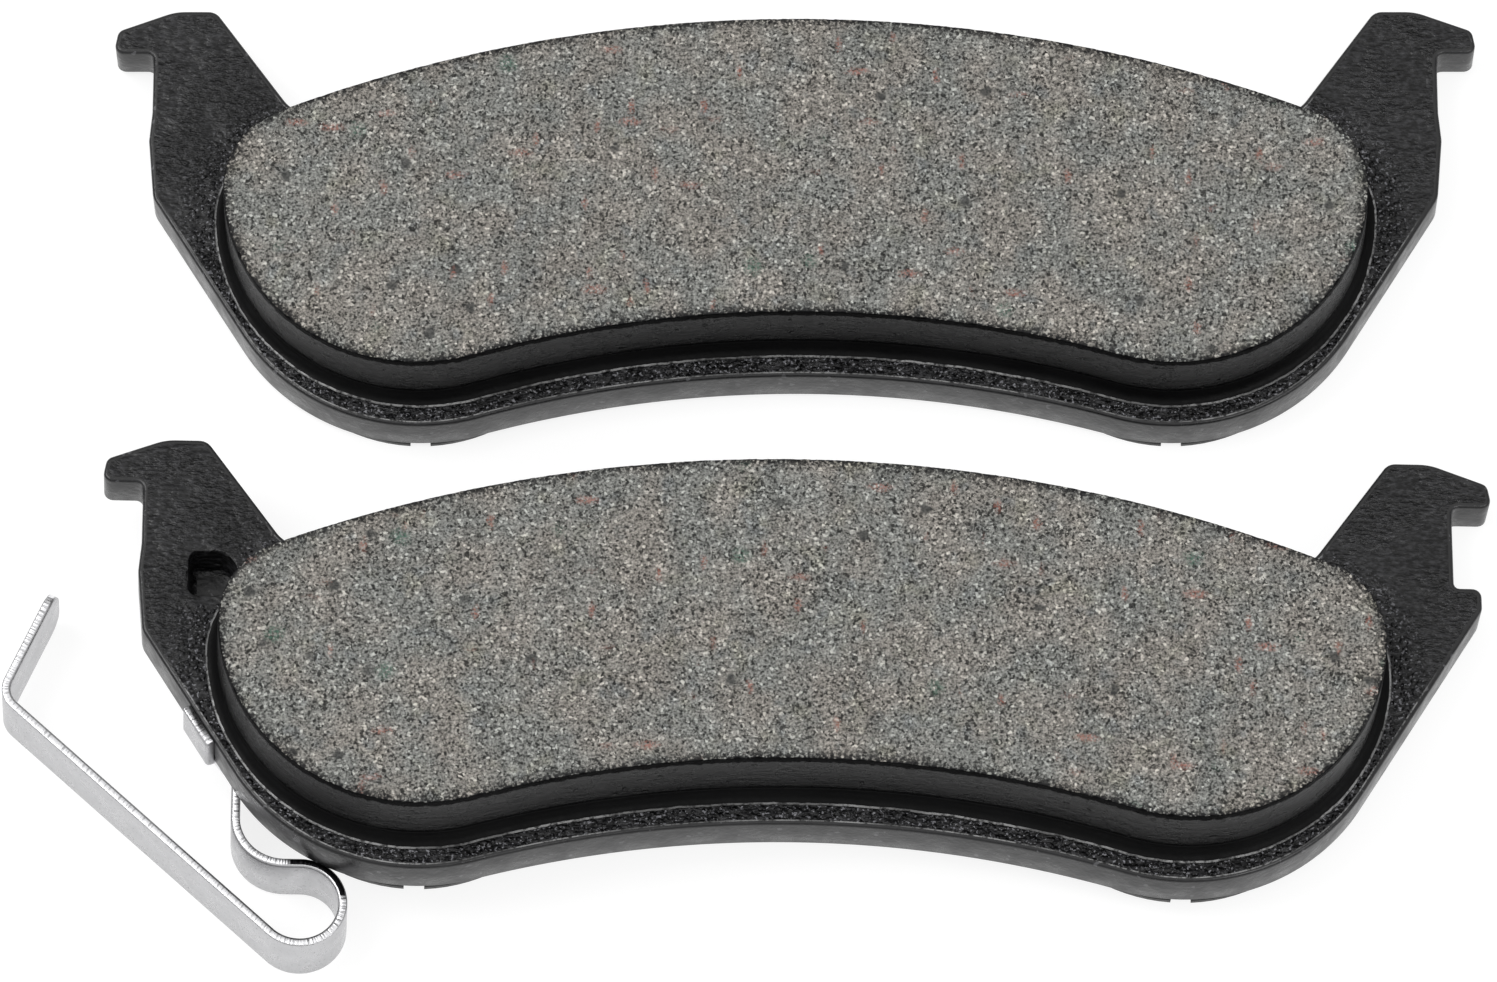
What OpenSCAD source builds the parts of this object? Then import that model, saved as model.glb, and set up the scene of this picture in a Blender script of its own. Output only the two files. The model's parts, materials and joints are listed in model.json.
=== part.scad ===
// Matched pair of disc brake pads with a retaining spring.
//
// Each pad is drawn lying on its back: x runs along the pad, y runs outward from the
// wheel's axis, and z = 0 is the back face of its steel plate. The point x = 0, y = 0 is
// the crown of the arch in the plate's lower edge. The two place_ modules then lay the
// pads out on z = 0 of the shared frame: the outboard pad flat, and the inboard pad in
// front of it, leaning on its own spring.

/* [Backing plate] */
// Thickness of the plate steel
plate_t = 5; // [4:0.1:6]
// Plate showing below the friction face, flare included
foot_margin = 3.6; // [2.5:0.1:4]
// Plate showing above the friction face
top_margin = 2.3; // [1.6:0.1:2.6]
// How far the plate's two lobes reach below the arch crown
plate_drop = 5.9; // [5.5:0.1:6.3]
// Radius of the plate's lobes
plate_lobe_r = 23; // [22.4:0.1:23.6]
// Width over the two guide faces that slide in the bracket
guide_width = 142.6; // [140:0.1:144]
// Width over the two hooks
hook_width = 151.6; // [150:0.1:153]
// Height of the hooks' undersides above the arch crown
hook_y = 39.2; // [38:0.1:40]
// Height of the ears above the arch crown
ear_top = 44.4; // [44:0.1:46]
// Slope of the plate's lower flanks
flank_angle = 58.4; // [57.6:0.1:59.2]
// Diameter of the retention holes through the plate
retention_d = 9; // [6:0.5:11]

/* [Friction lining] */
// Length of the friction face
lining_length = 125.5; // [124:0.1:127]
// Height of the friction face on the centre line
lining_height = 35.5; // [34.5:0.1:36.5]
// Radius of the outer edge, which follows the disc
outer_r = 149.5; // [147:0.5:152]
// Radius of the two lower lobes
lobe_r = 21.5; // [20.5:0.1:22]
// Height of the lining's widest point above the arch crown
widest_y = 19.1; // [18.7:0.1:19.4]
// Thickness of the friction material
lining_t = 7.4; // [2:0.1:9]
// Thickness of the underlayer
underlayer_t = 1.8; // [1:0.1:2.5]
// How far the underlayer's foot stands out below the friction face
foot_flare = 1.4; // [0.5:0.1:1.8]

/* [Shim] */
// Thickness of the shim steel
shim_t = 0.5; // [0.3:0.05:0.8]
// Thickness of the rubber layer that bonds the shim to the plate
damping_t = 0.3; // [0.15:0.05:0.4]
// Length of the shim
shim_length = 112; // [100:1:116]
// Width of the slot in each lobe of the shim
shim_slot_w = 2.2; // [1:0.1:4]
// Depth of that slot
shim_slot_depth = 5; // [2:0.5:8]

/* [Retaining spring] */
// Thickness of the strip steel
strip_t = 1; // [0.8:0.05:1.2]
// Width of the strip, which stands on edge below the plate
strip_w = 8; // [6:0.5:9]
// Radius of the loop at the middle of the strip
loop_r = 4.6; // [4:0.1:5]
// Radius of the bend from the loop to the base
return_r = 5.35; // [4:0.05:5.5]
// Length of the arm from the loop to its bend
arm_length = 40.2; // [34:0.1:42]
// Direction of the arm
arm_angle = 137.2; // [135:0.1:140]
// Length of the tip beyond the bend
tip_length = 13.6; // [8:0.1:15]
// Direction of the tip
tip_angle = 66.6; // [60:0.1:80]
// Length of the tab that grips the plate's edge
tab_length = 5.1; // [3:0.1:6]

/* [Layout] */
// Free space between the two pads as they lie
row_gap = 4.5; // [3:0.1:12]

/* [Hidden] */
$fn = 96;
far = 400;
arc_step = 5;

// Friction face: the outer arc, corner rounds and lobes tangent to each other at the
// widest point, and the arch tangent to both lobes
half_length = lining_length / 2;
face_high = foot_margin + lining_height;
outer_y = face_high - outer_r;
lobe = [half_length - lobe_r, widest_y];
corner_rise = widest_y - outer_y;
corner_r = (pow(outer_r, 2) - pow(half_length, 2) - pow(corner_rise, 2))
    / (2 * (outer_r - half_length));
corner_x = half_length - corner_r;

// Backing plate: its own lobes under the lining's, and the flanks tangent to them
plate_lobe = [lobe[0], plate_lobe_r - plate_drop];
flank_foot = plate_lobe + plate_lobe_r * dir(flank_angle - 90);

// Ears: guide face, hook, and a shoulder that is wider on the inboard plate's right ear
guide_x = guide_width / 2;
hook_x = hook_width / 2;
hook_corner = [hook_x - 0.5, hook_y + 2.8];
narrow_shoulder = [
    [guide_x - 0.3, flank_height(guide_x - 0.3), 2.5],
    [guide_x + 0.3, 28.6, 2],
    [guide_x, 32, 2]
];
wide_shoulder = [
    [hook_x - 1.5, flank_height(hook_x - 1.5), 1.2],
    [hook_x - 1.5, 29.5, 1],
    [guide_x, 29.5, 0.6]
];
ear_inner_x = 64.5;
ear_slant = 54.5;
top_r = outer_r + top_margin;
ear_root = slant_meets_arc([ear_inner_x, ear_top], ear_slant, [0, outer_y], top_r);
ear_blend_x = 42;

// Half-sheared D in the inboard plate's left ear, and the retention holes
stake = [-63.5, 28.35];
stake_size = 5.3;
stake_depth = 4.3;
stake_height = 2.6;
stake_play = 0.1;
retention_x = [-42, -14, 14, 42];
retention_y = 17;

// Shim outline: its lobe ends, the step back at the arch, and the inset below the outer edge
shim_lobe_r = 18;
shim_arch_rise = 2.2;
shim_top_inset = 1;
shim_stack = shim_t + damping_t;

// Base of the retaining spring: a rectangle round the stake, with a foot down to the fold
// and a foot down to the tab; all measured from the stake's centre or up the flank
base_reach = 4.8;
base_low = 6;
base_corner_r = 2;
tab_from = 4;
tab_foot = [-flank_foot[0], flank_foot[1]];
tab_heading = 180 - flank_angle;

// Retaining spring: loop, return bend to the base, arm, bend and tip
loop = [-53.45, -7.85];
loop_out_r = loop_r + strip_t / 2;
loop_end = arm_angle - 270;
loop_split = 3;
return_x = -60.55;
return_y = loop[1] + loop_r + return_r;
fold_from = 6;
fold_to = 12;
bend_r = 2.6;
strip_drop = 0.3;
bend_turn = arm_angle - tip_angle;
arm_start = loop + loop_r * dir(loop_end);
arm_corner = arm_start + arm_length * dir(arm_angle);
bend_reach = bend_r * tan(bend_turn / 2);
bend_centre = arm_corner - bend_reach * dir(arm_angle) + bend_r * dir(arm_angle - 90);
tip_end = arm_corner + tip_length * dir(tip_angle);

// Lean of the inboard pad: it touches down on the loop, the tip and its right hook
tip_from_loop = tip_end - loop;
touch_angle = atan2(tip_from_loop[1], tip_from_loop[0]) - acos(loop_out_r / norm(tip_from_loop));
lean_span = (hook_corner - loop) * dir(touch_angle) - loop_out_r;
lean = atan(strip_w / lean_span);
lean_axis = [each dir(touch_angle + 90), 0];
lean_point = [each hook_corner, 0];

// Frame: the origin under the middle of the whole set
pad_pitch = ear_top + plate_drop + row_gap;
left_end = leaned([bend_centre[0] - bend_r - strip_t / 2, bend_centre[1], -strip_w])[0];
right_end = leaned([hook_x, hook_y + 1, plate_t])[0];
near_end = leaned([loop[0], loop[1] - loop_out_r, -strip_w])[1];
far_end = pad_pitch + ear_top;
frame_shift = -[left_end + right_end, near_end + far_end, 0] / 2;

function dir(a) = [cos(a), sin(a)];
function unit(v) = v / norm(v);

// Height at which the right flank reaches x
function flank_height(x) = flank_foot[1] + (x - flank_foot[0]) * tan(flank_angle);

// Radius of an arch that dips to height low on the centre line and is tangent to two lobes
function arch_radius(centre, r, low) =
    let (drop = centre[1] - low)
    (pow(centre[0], 2) + drop * drop - r * r) / (2 * (r - drop));

// Where a line going down from a point at the given slope meets a circle
function slant_meets_arc(from, slope, centre, r) =
    let (b = (from - centre) * dir(slope), c = pow(norm(from - centre), 2) - r * r)
    from - (b - sqrt(b * b - c)) * dir(slope);

// A point of the inboard pad once the pad has leaned over
function leaned(p) =
    let (v = p - lean_point)
    lean_point + v * cos(lean) + cross(lean_axis, v) * sin(lean)
    + lean_axis * (lean_axis * v) * (1 - cos(lean));

// Points along an arc, one every few degrees
function arc(centre, r, from, to) =
    let (steps = ceil(abs(to - from) / arc_step))
    [for (i = [0:steps]) centre + r * dir(from + (to - from) * i / steps)];

// The arc that rounds the corner q between p and s
function corner_arc(p, q, s, r, steps = 8) =
    let (
        a = unit(p - q),
        b = unit(s - q),
        half = acos(a * b) / 2,
        centre = q + unit(a + b) * r / sin(half),
        from = q + a * r / tan(half) - centre,
        to = q + b * r / tan(half) - centre,
        turn = atan2(cross(from, to), from * to)
    )
    [for (i = [0:steps]) centre + r * dir(atan2(from[1], from[0]) + turn * i / steps)];

// A closed outline from corners [x, y, radius]
function rounded(corners) =
    let (n = len(corners), at = [for (c = corners) [c[0], c[1]]])
    [for (i = [0:n - 1])
        each corners[i][2] > 0
            ? corner_arc(at[(i + n - 1) % n], at[i], at[(i + 1) % n], corners[i][2])
            : [at[i]]];

module outboard_place() {
    translate(frame_shift + [0, pad_pitch, shim_stack]) children();
}

module inboard_place() {
    translate(frame_shift + lean_point) rotate(a = lean, v = lean_axis)
        translate(-lean_point) children();
}

// Lower half of an outline: an arch between two lobes, grown outward
module lobes_and_arch(centre, r, low, grow) {
    arch_r = arch_radius(centre, r, low);
    arch_y = low - arch_r;
    for (side = [-1, 1]) intersection() {
        translate([side * centre[0], centre[1]]) circle(r + grow);
        translate([-far / 2, centre[1] - far]) square(far);
    }
    difference() {
        polygon([[-centre[0], centre[1]], [0, arch_y], centre]);
        translate([0, arch_y]) circle(arch_r - grow);
    }
}

// Friction face outline, grown outward
module lining_outline(grow) {
    lobes_and_arch(lobe, lobe_r, foot_margin, grow);
    for (side = [-1, 1]) intersection() {
        translate([side * corner_x, widest_y]) circle(corner_r + grow);
        translate([-far / 2, widest_y]) square(far);
    }
    intersection() {
        translate([0, outer_y]) circle(outer_r + grow);
        polygon([[0, widest_y], [corner_x, widest_y],
            [0, outer_y] + far * unit([corner_x, corner_rise]),
            [0, outer_y] + far * unit([-corner_x, corner_rise]),
            [-corner_x, widest_y]]);
    }
}

// Right half of the plate's outline as corners [x, y, radius]: arch, lobe, ear with its
// hook, and outer edge, counter-clockwise from the crown of the arch
function half_plate(shoulder) =
    let (
        arch_r = arch_radius(plate_lobe, plate_lobe_r, 0),
        arch_end = atan2(plate_lobe[1] + arch_r, plate_lobe[0]),
        blend_end = acos(ear_blend_x / top_r)
    ) [
        [0, 0, 0],
        for (x = [10, 20, 30]) [x, sqrt(arch_r * arch_r - x * x) - arch_r, 0],
        for (p = arc(plate_lobe, plate_lobe_r, arch_end + 180, flank_angle + 270)) [each p, 0],
        each shoulder,
        [guide_x, hook_y, 0.8],
        [hook_x, hook_y, 1],
        [each hook_corner, 1],
        [hook_x - 6.8, ear_top, 6],
        [ear_inner_x, ear_top, 1.6],
        [each ear_root, 4],
        for (p = arc([0, outer_y], top_r, blend_end, 90)) [each p, 0]
    ];

// The corners between the two ends of a half, on the other side and in the same sense
function other_half(half) =
    [for (i = [len(half) - 2:-1:1]) [-half[i][0], half[i][1], half[i][2]]];

module plate_outline(right_shoulder) {
    polygon(rounded([each half_plate(right_shoulder), each other_half(half_plate(narrow_shoulder))]));
}

module plate_blank(right_shoulder) {
    difference() {
        linear_extrude(plate_t) plate_outline(right_shoulder);
        for (x = retention_x)
            translate([x, retention_y, -1]) cylinder(h = plate_t + 2, d = retention_d);
    }
}

module underlayer() {
    color([0.16, 0.15, 0.14]) {
        translate([0, 0, plate_t]) linear_extrude(underlayer_t) lining_outline(foot_flare);
        for (x = retention_x) translate([x, retention_y]) cylinder(h = plate_t, d = retention_d);
    }
}

module friction_lining() {
    color([0.42, 0.4, 0.37]) translate([0, 0, plate_t + underlayer_t])
        linear_extrude(lining_t) lining_outline(0);
}

// Shim outline: flush with the plate at the bottom of the two lobes, each with a slot
module shim_outline() {
    arch_r = arch_radius(plate_lobe, plate_lobe_r, 0);
    difference() {
        intersection() {
            translate([0, outer_y]) circle(outer_r - shim_top_inset);
            union() {
                for (side = [-1, 1])
                    translate([side * lobe[0], shim_lobe_r - plate_drop]) circle(shim_lobe_r);
                translate([-shim_length / 2, shim_lobe_r - plate_drop]) square([shim_length, far]);
                difference() {
                    translate([-lobe[0], -plate_drop]) square([2 * lobe[0], far]);
                    translate([0, -arch_r]) circle(arch_r + shim_arch_rise);
                }
            }
            translate([-shim_length / 2, -far / 2]) square([shim_length, far]);
        }
        for (side = [-1, 1]) translate([side * lobe[0] - shim_slot_w / 2, -plate_drop - 1])
            square([shim_slot_w, shim_slot_depth + 1]);
    }
}

module damping_layer() {
    color([0.1, 0.1, 0.1]) translate([0, 0, -damping_t]) linear_extrude(damping_t) shim_outline();
}

module shim() {
    color([0.2, 0.2, 0.21]) translate([0, 0, -shim_stack]) linear_extrude(shim_t) shim_outline();
}

// D with its flat side to the left
module stake_outline(size) {
    translate([-size / 2, -size / 2]) square([size / 2, size]);
    circle(d = size);
}

// Middle line of the strip round an arc, as [point, direction of the strip's left side]
function bend(centre, r, from, to) =
    let (steps = ceil(abs(to - from) / arc_step), left = to < from ? 0 : 180)
    [for (i = [0:steps]) let (a = from + (to - from) * i / steps) [centre + r * dir(a), a + left]];

// Strip on edge along such a line
module strip(line) {
    right_side = [for (s = line) s[0] - strip_t / 2 * dir(s[1])];
    left_side = [for (i = [len(line) - 1:-1:0]) line[i][0] + strip_t / 2 * dir(line[i][1])];
    translate([0, 0, -strip_w]) linear_extrude(strip_w - strip_drop)
        polygon([each right_side, each left_side]);
}

module outboard_backing_plate() {
    color([0.1, 0.1, 0.11]) outboard_place() plate_blank(narrow_shoulder);
}

module outboard_underlayer() {
    outboard_place() underlayer();
}

module outboard_friction_lining() {
    outboard_place() friction_lining();
}

module outboard_damping_layer() {
    outboard_place() damping_layer();
}

module outboard_shim() {
    outboard_place() shim();
}

module inboard_backing_plate() {
    color([0.1, 0.1, 0.11]) inboard_place() {
        difference() {
            plate_blank(wide_shoulder);
            translate([each stake, plate_t - stake_depth]) linear_extrude(plate_t)
                stake_outline(stake_size);
        }
        translate([each stake, -stake_height]) linear_extrude(stake_height) stake_outline(stake_size);
    }
}

module inboard_underlayer() {
    inboard_place() underlayer();
}

module inboard_friction_lining() {
    inboard_place() friction_lining();
}

module inboard_damping_layer() {
    inboard_place() damping_layer();
}

module inboard_shim() {
    inboard_place() shim();
}

// Flat base staked to the ear, with the edge tab, the fold and the fixed half of the loop
module retaining_spring_base() {
    fold_x = return_x + strip_t / 2;
    color([0.78, 0.79, 0.8]) inboard_place() {
        difference() {
            translate([0, 0, -strip_t]) linear_extrude(strip_t) polygon(rounded([
                [fold_x, fold_from - 1, 0],
                [fold_x, fold_to, base_corner_r],
                [stake[0] + base_reach, stake[1] - base_low, base_corner_r],
                [stake[0] + base_reach, stake[1] + base_reach, base_corner_r],
                [stake[0] - base_reach, stake[1] + base_reach, base_corner_r],
                [stake[0] - base_reach, stake[1] - base_low, base_corner_r],
                [each tab_foot + (tab_from + tab_length) * dir(tab_heading), 0],
                [each tab_foot + tab_from * dir(tab_heading), 0]
            ]));
            translate([each stake, -strip_t - 1]) linear_extrude(strip_t + 2)
                stake_outline(stake_size + 2 * stake_play);
        }
        translate([each tab_foot, -strip_t]) rotate([0, 0, tab_heading])
            translate([tab_from, 0, 0]) cube([tab_length, strip_t, strip_t + plate_t]);
        translate([return_x - strip_t / 2, 0, 0]) rotate([90, 0, 90]) linear_extrude(strip_t)
            polygon([[fold_from - 1, -strip_drop], [fold_to, -strip_drop], [fold_to, -strip_t],
                [fold_from, -strip_w], [fold_from - 1, -strip_w]]);
        strip([
            [[return_x, fold_from], 0],
            each bend([return_x + return_r, return_y], return_r, 180, 270),
            each bend(loop, loop_r, 90, loop_split)
        ]);
    }
}

// Moving half of the loop, the arm, its bend and the tip
module retaining_spring_arm() {
    color([0.82, 0.83, 0.84]) inboard_place() {
        strip([
            each bend(loop, loop_r, 0, loop_end),
            each bend(bend_centre, bend_r, arm_angle + 90, tip_angle + 90),
            [tip_end, tip_angle + 90]
        ]);
    }
}

outboard_backing_plate();
outboard_underlayer();
outboard_friction_lining();
outboard_damping_layer();
outboard_shim();
inboard_backing_plate();
inboard_underlayer();
inboard_friction_lining();
inboard_damping_layer();
inboard_shim();
retaining_spring_base();
retaining_spring_arm();
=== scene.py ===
import json
import math

import bmesh
import bpy
import numpy as np
from mathutils import Matrix, Vector, geometry, noise


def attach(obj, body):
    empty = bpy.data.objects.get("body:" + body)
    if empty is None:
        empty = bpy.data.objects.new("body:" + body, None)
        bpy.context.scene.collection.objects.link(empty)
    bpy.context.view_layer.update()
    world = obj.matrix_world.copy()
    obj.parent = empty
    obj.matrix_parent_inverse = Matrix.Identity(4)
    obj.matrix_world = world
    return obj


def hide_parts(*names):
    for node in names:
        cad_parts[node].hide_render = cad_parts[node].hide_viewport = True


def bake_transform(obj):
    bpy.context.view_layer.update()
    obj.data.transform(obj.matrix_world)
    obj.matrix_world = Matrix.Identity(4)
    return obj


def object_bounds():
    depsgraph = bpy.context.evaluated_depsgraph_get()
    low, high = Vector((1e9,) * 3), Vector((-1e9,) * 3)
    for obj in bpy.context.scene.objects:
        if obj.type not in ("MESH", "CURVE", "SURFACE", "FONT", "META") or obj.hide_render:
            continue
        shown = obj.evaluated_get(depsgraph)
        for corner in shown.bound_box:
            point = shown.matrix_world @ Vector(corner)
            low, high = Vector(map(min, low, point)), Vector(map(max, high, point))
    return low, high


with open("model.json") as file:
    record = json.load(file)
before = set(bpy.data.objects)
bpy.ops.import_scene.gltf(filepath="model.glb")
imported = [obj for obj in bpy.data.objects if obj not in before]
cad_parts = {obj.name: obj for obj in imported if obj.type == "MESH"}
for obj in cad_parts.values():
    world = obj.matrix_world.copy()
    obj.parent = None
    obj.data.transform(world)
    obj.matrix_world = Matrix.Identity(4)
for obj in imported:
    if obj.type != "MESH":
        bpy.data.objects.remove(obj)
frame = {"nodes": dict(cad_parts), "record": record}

CAD_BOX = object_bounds()
MM = 0.001
MOUNTS = {mount["name"]: mount for mount in frame["record"]["mounts"]}

# Sizes of the pads and the spring, in millimetres, the same as in part.scad. Each pad is
# built lying on its back: x along the pad, y outward, z = 0 at the plate's back face.
PLATE_T, UNDER_T, LINING_T = 5.0, 1.8, 7.4
FACE_Z = PLATE_T + UNDER_T + LINING_T
FACE_MOUNT_Y = 20.0  # y of the friction face's mount
FOOT_MARGIN, TOP_MARGIN, FOOT_FLARE = 3.6, 2.3, 1.4
PLATE_DROP, PLATE_LOBE_R, FLANK_ANGLE = 5.9, 23.0, 58.4
GUIDE_X, HOOK_X, HOOK_Y, EAR_TOP = 71.3, 75.8, 39.2, 44.4
WIDE_X, WIDE_Y = HOOK_X - 1.5, 29.5
HALF_LENGTH, LINING_HEIGHT, OUTER_R = 62.75, 35.5, 149.5
LOBE_R, WIDEST_Y = 21.5, 19.1
EAR_INNER_X, EAR_SLANT, EAR_BLEND_X = 64.5, 54.5, 42.0
STAKE, STAKE_SIZE, STAKE_DEPTH, STAKE_HEIGHT, STAKE_PLAY = (-63.5, 28.35), 5.3, 4.3, 2.6, 0.1
STRIP_T, STRIP_W, STRIP_DROP = 1.0, 8.0, 0.3
LOOP, LOOP_R, RETURN_X, RETURN_R = (-53.45, -7.85), 4.6, -60.55, 5.35
ARM_LENGTH, ARM_ANGLE, TIP_LENGTH, TIP_ANGLE, BEND_R = 40.2, 137.2, 13.6, 66.6, 2.6
FOLD_FROM, FOLD_TO, TAB_FROM, TAB_LENGTH = 6.0, 12.0, 4.0, 5.1
BASE_REACH, BASE_LOW, BASE_CORNER = 4.8, 6.0, 2.0

# Derived from them, by the same geometry as in part.scad
OUTER_Y = FOOT_MARGIN + LINING_HEIGHT - OUTER_R
LOBE = (HALF_LENGTH - LOBE_R, WIDEST_Y)
CORNER_RISE = WIDEST_Y - OUTER_Y
CORNER_R = (OUTER_R**2 - HALF_LENGTH**2 - CORNER_RISE**2) / (2 * (OUTER_R - HALF_LENGTH))
CORNER_X = HALF_LENGTH - CORNER_R
PLATE_LOBE = (LOBE[0], PLATE_LOBE_R - PLATE_DROP)
PLATE_TOP_R = OUTER_R + TOP_MARGIN

# Finish that the CAD solids leave out, in millimetres
PLATE_ROLL = 0.38
D_CORNER = 1.0
FLASH_LOW, FLASH_HIGH, FLASH_BEVEL = 0.13, 0.2, 0.08
COVE_END = 0.13
TIP_CORNER = 2.2
SHEARED = 0.06
GRAIN = 0.28
# Run along the spring's strip, in millimetres, over which its sheared edges are made nearly black
DARK_EDGE_START, DARK_EDGE_END = 12.2, 20.8
FAR_FROM_FOOT = 9.0
PATTERN_SHIFT = {"outboard": 0.0, "inboard": 300.0, "spring": 60.0}

# Camera and floor, in metres unless named otherwise
VIEW_TILT, VIEW_DISTANCE, VIEW_WIDTH, VIEW_RISE = math.radians(23), 1.142, 0.1643, 0.0005
SENSOR = 36.0  # millimetres
FLOOR_SIZE, FLOOR_DROP = 6.0, 0.02  # the drop in millimetres

# Material slots of the plates, the linings, the underlayers and the spring
# The plates' fourth slot and the underlayers' flash slot carry a painted highlight.
TOP, SIDE, BACK, EDGE_HIGHLIGHT = range(4)
FACE, WALL = range(2)
COVE, FLASH = range(2)
FLAT, EDGE = range(2)


def heading(degrees):
    """Unit vector at an angle from the x axis."""
    return np.array([math.cos(math.radians(degrees)), math.sin(math.radians(degrees))])


def arc(centre, radius, start, end, spacing=0.25):
    """Points along an arc, about one every spacing millimetres."""
    steps = max(2, math.ceil(abs(math.radians(end - start)) * radius / spacing))
    return [np.array(centre) + radius * heading(start + (end - start) * i / steps)
            for i in range(steps + 1)]


def arch_radius(centre, radius, low):
    """Radius of an arch that dips to height low and is tangent to two lobes."""
    drop = centre[1] - low
    return (centre[0]**2 + drop**2 - radius**2) / (2 * (radius - drop))


def rounded(corners):
    """A closed outline from corners (x, y, radius)."""
    points = []
    for i, (x, y, radius) in enumerate(corners):
        here = np.array([x, y])
        if radius == 0:
            points.append(here)
            continue
        before = np.array(corners[i - 1][:2]) - here
        after = np.array(corners[(i + 1) % len(corners)][:2]) - here
        before, after = before / np.linalg.norm(before), after / np.linalg.norm(after)
        half = math.acos(float(np.clip(before @ after, -1, 1))) / 2
        centre = here + (before + after) / np.linalg.norm(before + after) * radius / math.sin(half)
        start = here + before * radius / math.tan(half) - centre
        end = here + after * radius / math.tan(half) - centre
        turn = math.atan2(start[0] * end[1] - start[1] * end[0], start @ end)
        first = math.degrees(math.atan2(start[1], start[0]))
        points += arc(centre, radius, first, first + math.degrees(turn))
    return points


def resampled(points, spacing):
    """The same closed outline with evenly spaced points, and its outward normals."""
    loop = np.array(points + [points[0]])
    run = np.concatenate([[0], np.cumsum(np.linalg.norm(np.diff(loop, axis=0), axis=1))])
    at = np.linspace(0, run[-1], max(12, round(run[-1] / spacing)), endpoint=False)
    even = np.stack([np.interp(at, run, loop[:, k]) for k in (0, 1)], axis=1)
    along = np.roll(even, -1, axis=0) - np.roll(even, 1, axis=0)
    normal = np.stack([along[:, 1], -along[:, 0]], axis=1)
    return even, normal / np.linalg.norm(normal, axis=1, keepdims=True)


def mirrored(half):
    """The points between the two ends of a half outline, on the other side."""
    return [(-p[0], *p[1:]) for p in half[-2:0:-1]]


def lining_outline():
    """Outline of the friction face, counter-clockwise from the crown of its arch."""
    radius = arch_radius(LOBE, LOBE_R, FOOT_MARGIN)
    low = math.degrees(math.atan2(LOBE[1] - FOOT_MARGIN + radius, LOBE[0]))
    high = math.degrees(math.atan2(CORNER_RISE, CORNER_X))
    half = (arc((0, FOOT_MARGIN - radius), radius, 90, low)
            + arc(LOBE, LOBE_R, low + 180, 360)[1:]
            + arc((CORNER_X, WIDEST_Y), CORNER_R, 0, high)[1:]
            + arc((0, OUTER_Y), OUTER_R, high, 90)[1:])
    return half + [np.array(p) for p in mirrored(half)]


def flank_foot():
    """Where the plate's right lobe runs into its straight flank."""
    return np.array(PLATE_LOBE) + PLATE_LOBE_R * heading(FLANK_ANGLE - 90)


def plate_outline(wide_shoulder):
    """Outline of a backing plate; the inboard plate's right ear has the wide shoulder."""
    foot = flank_foot()

    def flank(x):
        return foot[1] + (x - foot[0]) * math.tan(math.radians(FLANK_ANGLE))

    narrow = [(GUIDE_X - 0.3, flank(GUIDE_X - 0.3), 2.5), (GUIDE_X + 0.3, 28.6, 2), (GUIDE_X, 32, 2)]
    wide = [(WIDE_X, flank(WIDE_X), 1.2), (WIDE_X, WIDE_Y, 1), (GUIDE_X, WIDE_Y, 0.6)]
    radius = arch_radius(PLATE_LOBE, PLATE_LOBE_R, 0)
    low = math.degrees(math.atan2(PLATE_LOBE[1] + radius, PLATE_LOBE[0]))
    high = math.degrees(math.acos(EAR_BLEND_X / PLATE_TOP_R))
    start = np.array([EAR_INNER_X, EAR_TOP]) - np.array([0, OUTER_Y])
    slant = heading(EAR_SLANT)
    reach = start @ slant - math.sqrt((start @ slant)**2 - start @ start + PLATE_TOP_R**2)
    root = np.array([EAR_INNER_X, EAR_TOP]) - reach * slant

    def half(shoulder):
        return ([(*p, 0) for p in arc((0, -radius), radius, 90, low)]
                + [(*p, 0) for p in arc(PLATE_LOBE, PLATE_LOBE_R, low + 180, FLANK_ANGLE + 270)[1:]]
                + shoulder
                + [(GUIDE_X, HOOK_Y, 0.8), (HOOK_X, HOOK_Y, 1), (HOOK_X - 0.5, HOOK_Y + 2.8, 1),
                   (HOOK_X - 6.8, EAR_TOP, 6), (EAR_INNER_X, EAR_TOP, 1.6), (*root, 4)]
                + [(*p, 0) for p in arc((0, OUTER_Y), PLATE_TOP_R, high, 90)])

    return rounded(half(wide if wide_shoulder else narrow) + mirrored(half(narrow)))


def stake_outline(size):
    """D with its flat side to the left, round the stake."""
    half = size / 2
    corners = [(-half, -half, D_CORNER), (0, -half, 0),
               *[(*p, 0) for p in arc((0, 0), half, -85, 85)],
               (0, half, 0), (-half, half, D_CORNER)]
    return [p + np.array(STAKE) for p in rounded(corners)]


def inside(points, outline):
    """Which points lie inside a closed outline."""
    x, y = points[:, 0][:, None], points[:, 1][:, None]
    x1, y1 = outline[:, 0][None], outline[:, 1][None]
    x2, y2 = np.roll(outline[:, 0], -1)[None], np.roll(outline[:, 1], -1)[None]
    crosses = (y1 > y) != (y2 > y)
    with np.errstate(divide="ignore", invalid="ignore"):
        at = x1 + (y - y1) * (x2 - x1) / (y2 - y1)
    return (crosses & (x < at)).sum(axis=1) % 2 == 1


def distance(points, outline):
    """Distance of each point from the nearest point of an outline."""
    nearest = [np.min(np.linalg.norm(outline[None] - part[:, None], axis=2), axis=1)
               for part in np.array_split(points, max(1, len(points) // 500))]
    return np.concatenate(nearest)


def rough(points, size, seed=0.0):
    """Smooth noise from -1 to 1 at each point, with features of the given size in mm."""
    return np.array([noise.noise(Vector((p[0] / size, p[1] / size, seed))) for p in points])


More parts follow.
